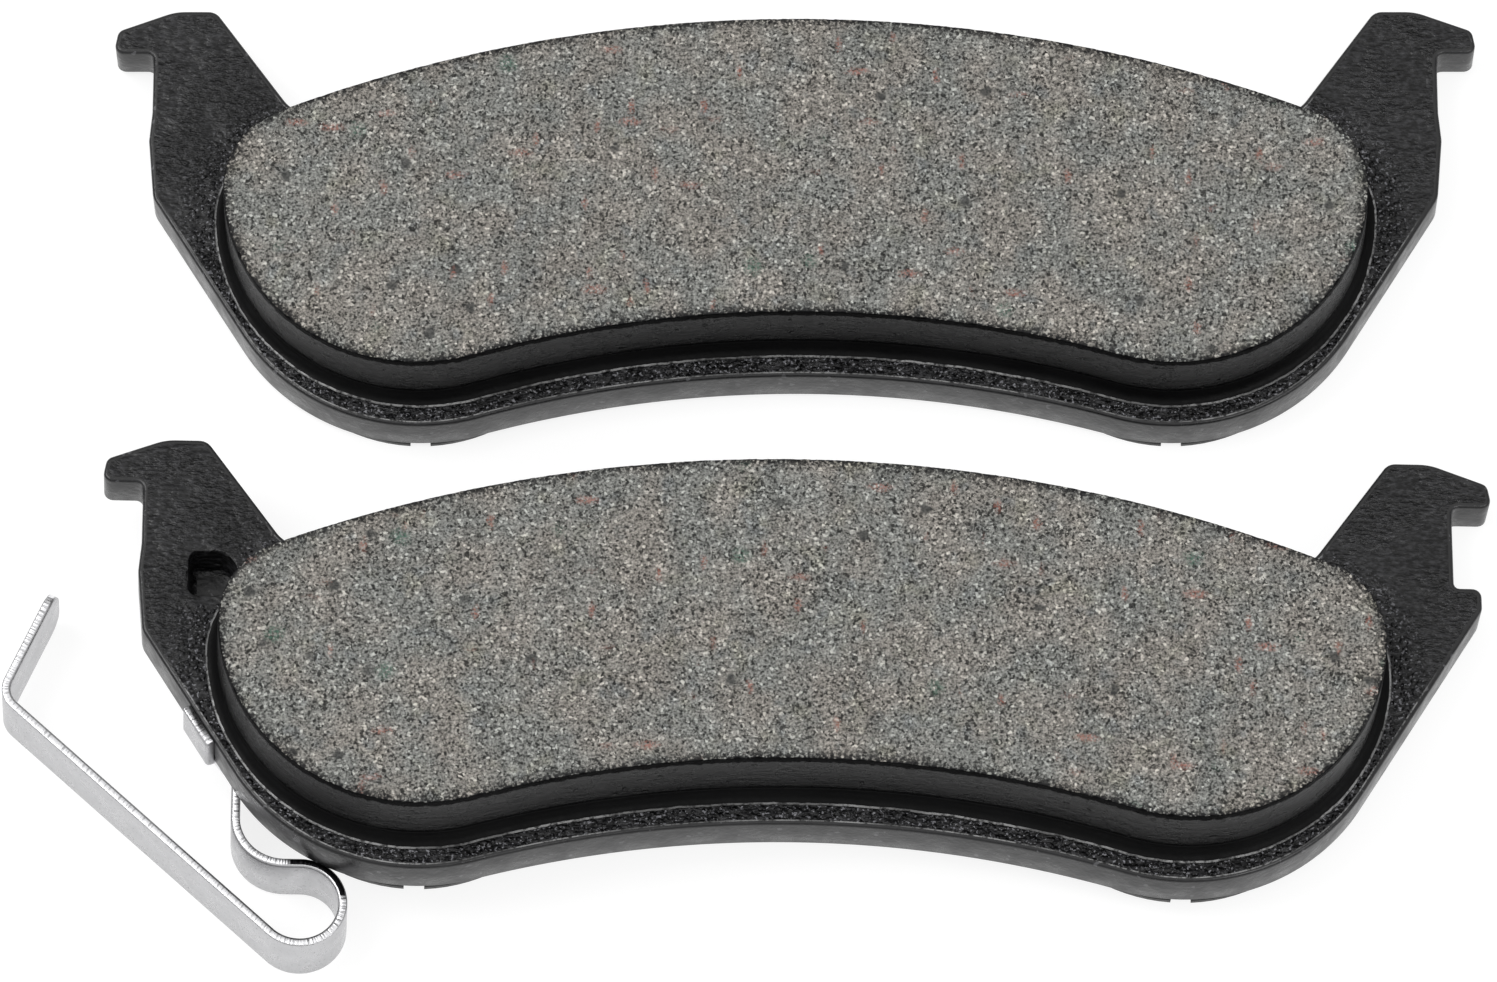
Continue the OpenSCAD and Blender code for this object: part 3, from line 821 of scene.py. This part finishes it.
def base_plate(piece):
    """Flat base under the ear, with the D hole that the stake fills."""
    foot, up_flank = tab_corner()
    x, y = STAKE
    fold_x = RETURN_X + STRIP_T / 2
    corners = [(fold_x, FOLD_FROM - 1, 0), (fold_x, FOLD_TO, BASE_CORNER),
               (x + BASE_REACH, y - BASE_LOW, BASE_CORNER),
               (x + BASE_REACH, y + BASE_REACH, BASE_CORNER),
               (x - BASE_REACH, y + BASE_REACH, BASE_CORNER),
               (x - BASE_REACH, y - BASE_LOW, BASE_CORNER),
               (*(foot + (TAB_FROM + TAB_LENGTH) * up_flank), 0), (*(foot + TAB_FROM * up_flank), 0)]
    outline, normal = resampled(rounded(corners), 0.3)
    rings = [piece.ring(outline - normal * inset, z)
             for inset, z in ((SHEARED, -STRIP_T), (0.0, SHEARED - STRIP_T), (0.0, -SHEARED),
                              (SHEARED, 0.0))]
    piece.loft(rings, EDGE)
    hole, _ = resampled(stake_outline(STAKE_SIZE + 2 * STAKE_PLAY), 0.3)
    low = piece.ring(hole, -STRIP_T)
    high = piece.ring(hole, 0.0)
    piece.wall(high, low, EDGE)
    piece.cap(rings[-1], FLAT, up=True, holes=[high])
    piece.cap(rings[0], FLAT, up=False, holes=[low])


def edge_tab(piece):
    """Tab bent up from the base over the plate's flank, with rounded sheared edges."""
    foot, up_flank = tab_corner()
    outward = np.array([-up_flank[1], up_flank[0]])
    half = STRIP_T / 2
    end_round = 0.12
    section = np.array(rounded([(0.0, -half, 0.12), (TAB_LENGTH, -half, 0.12),
                                (TAB_LENGTH, half, 0.25), (0.0, half, 0.25)]))
    path = [(-1.2, -half, 270), (-0.6, -half, 270)]
    path += [(*(half * heading(a)), a) for a in np.linspace(-90, 0, 9)]
    path += [(half, z, 0) for z in np.arange(0.3, PLATE_T - 0.05, 0.3)] + [(half, PLATE_T, 0)]
    rings = []
    for out, z, side in path:
        direction = heading(side)
        shrink = end_round if z > PLATE_T - SHEARED else 0.0
        first = len(piece.points)
        for along, across in section:
            span = np.clip(along, shrink, TAB_LENGTH - shrink)
            over = np.clip(across, shrink - half, half - shrink)
            spot = foot + (TAB_FROM + span) * up_flank + (out + over * direction[0]) * outward
            piece.points.append((spot[0], spot[1], z + over * direction[1]))
            piece.marks.append(along)
        rings.append(list(range(first, first + len(section))))
    piece.loft(rings, FLAT)
    piece.faces += [tuple(rings[0][::-1]), tuple(rings[-1])]
    piece.slots += [EDGE, EDGE]


def spring_arm(place, materials):
    """Moving part of the loop, the arm, its bend and the rounded tip."""
    piece = Piece()
    loop_end = ARM_ANGLE - 270
    start = np.array(LOOP) + LOOP_R * heading(loop_end)
    corner = start + ARM_LENGTH * heading(ARM_ANGLE)
    reach = BEND_R * math.tan(math.radians(ARM_ANGLE - TIP_ANGLE) / 2)
    centre = corner - reach * heading(ARM_ANGLE) + BEND_R * heading(ARM_ANGLE - 90)
    arm_end, tip_start = corner - reach * heading(ARM_ANGLE), corner + reach * heading(TIP_ANGLE)
    tip = corner + TIP_LENGTH * heading(TIP_ANGLE)
    line = (bend(LOOP, LOOP_R, 0, loop_end)
            + straight(start, arm_end, ARM_ANGLE + 90)
            + bend(centre, BEND_R, ARM_ANGLE + 90, TIP_ANGLE + 90)
            + straight(tip_start, tip, TIP_ANGLE + 90, 0.15)
            + [(*(tip - 0.02 * heading(TIP_ANGLE)), TIP_ANGLE + 90)])
    sweep_strip(piece, line, free_end=True, run_start=DARK_EDGE_END + 0.6)
    made = piece.make("spring_arm_strip", place, materials, PATTERN_SHIFT["spring"])
    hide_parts("retaining_spring_arm")
    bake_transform(made)
    return made


# --- studio ----------------------------------------------------------------------------

def sky(scene):
    """White surroundings, dim at the horizon and bright overhead."""
    world = bpy.data.worlds.new("studio")
    scene.world = world
    world.use_nodes = True
    nodes, links = world.node_tree.nodes, world.node_tree.links
    place = nodes.new("ShaderNodeTexCoord")
    split = nodes.new("ShaderNodeSeparateXYZ")
    links.new(place.outputs["Generated"], split.inputs[0])
    level = nodes.new("ShaderNodeMapRange")
    for key, value in (("From Min", 0.05), ("From Max", 1.0), ("To Min", 0.1), ("To Max", 1.0)):
        level.inputs[key].default_value = value
    links.new(split.outputs["Z"], level.inputs["Value"])
    links.new(level.outputs["Result"], nodes["Background"].inputs["Strength"])
    nodes["Background"].inputs["Color"].default_value = (1, 1, 1, 1)


def floor():
    """Pale floor that glows a little, so that the pads cast hardly a shadow on it."""
    bpy.ops.mesh.primitive_plane_add(size=FLOOR_SIZE, location=(0, 0, -FLOOR_DROP * MM))
    plane = bpy.context.object
    plane.name = "studio_floor"
    s = Shader("studio_floor", (0.25, 0.25, 0.25), 0.8, specular=0.0)
    s.surface.inputs["Emission Color"].default_value = (1, 1, 1, 1)
    s.surface.inputs["Emission Strength"].default_value = 0.82
    plane.data.materials.append(s.material)


def lamp(name, spot, size, power):
    """Soft round light that points at the middle of the set."""
    light = bpy.data.lights.new(name, "AREA")
    light.shape = "DISK"
    light.size = size
    light.energy = power
    made = bpy.data.objects.new(name, light)
    made.location = spot
    made.rotation_euler = (-Vector(spot)).to_track_quat("-Z", "Y").to_euler()
    bpy.context.scene.collection.objects.link(made)


def studio():
    """Pale floor, even white surroundings and soft lights."""
    scene = bpy.context.scene
    scene.view_settings.view_transform = "Standard"
    sky(scene)
    floor()
    lamp("key", (-0.6, 0.15, 0.9), 0.7, 5.0)
    lamp("fill", (0.6, -0.5, 0.8), 0.6, 3.0)


def camera():
    """Long lens from the front, high above the pads."""
    low, high = (Vector(corner) for corner in CAD_BOX)
    toward = Vector((0, -math.sin(VIEW_TILT), math.cos(VIEW_TILT)))
    up = Vector((0, math.cos(VIEW_TILT), math.sin(VIEW_TILT)))
    aim = Vector(((low.x + high.x) / 2, (low.y + high.y) / 2, low.z)) + up * VIEW_RISE
    data = bpy.data.cameras.new("camera")
    data.sensor_width = SENSOR
    data.lens = SENSOR * VIEW_DISTANCE / VIEW_WIDTH
    eye = bpy.data.objects.new("camera", data)
    eye.location = aim + toward * VIEW_DISTANCE
    eye.rotation_euler = (-toward).to_track_quat("-Z", "Y").to_euler()
    bpy.context.scene.collection.objects.link(eye)
    bpy.context.scene.camera = eye


def pads():
    """Both pads' detailed pieces, each on its own body."""
    # The third material is a painted highlight for thin edges of the plates and feet.
    face, top, edge_highlight = friction_face(), ledge_paint(), painted_edge_highlight()
    wall = black_paint("lining_wall_paint", 0.004, 0.27, 0.45, 0.1, 0.45, pits=0.8, dull_depth=0.9,
                       stretch=(1, 1, 3.2))
    foot = black_paint("foot_paint", 0.003, 0.5, 0.5, 0.05, 0.1)
    side = black_paint("plate_side_paint", 0.012, 0.31, 0.6, 0.05, 0.45, speck=0.02)
    back = black_paint("plate_back_paint", 0.012, 0.4, 0.6, 0.06, 0.45)
    for pad in ("outboard", "inboard"):
        place = pad_place(pad)
        for piece in (backing_plate(pad, place, [top, side, back, edge_highlight]),
                      lining_block(pad, place, [face, wall]),
                      underlayer_foot(pad, place, [foot, edge_highlight])):
            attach(piece, f"{pad}_pad")


def spring():
    """Both parts of the retaining spring, which the inboard pad carries."""
    place = pad_place("inboard")
    steel = [zinc("zinc_flat", 0.52, 0.3, ticks=False), zinc("zinc_sheared_edge", 0.95, 0.3, ticks=True)]
    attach(spring_base(place, steel), "inboard_pad")
    spring_arm(place, steel)


def shims():
    """New materials for the shims and damping layers, which stay as CAD solids."""
    looks = {"shim": coated_steel(), "damping_layer": rubber()}
    for pad in ("outboard", "inboard"):
        for node, material in looks.items():
            mesh = frame["nodes"][f"{pad}_{node}"].data
            mesh.materials.clear()
            mesh.materials.append(material)


camera()
pads()
spring()
shims()
studio()
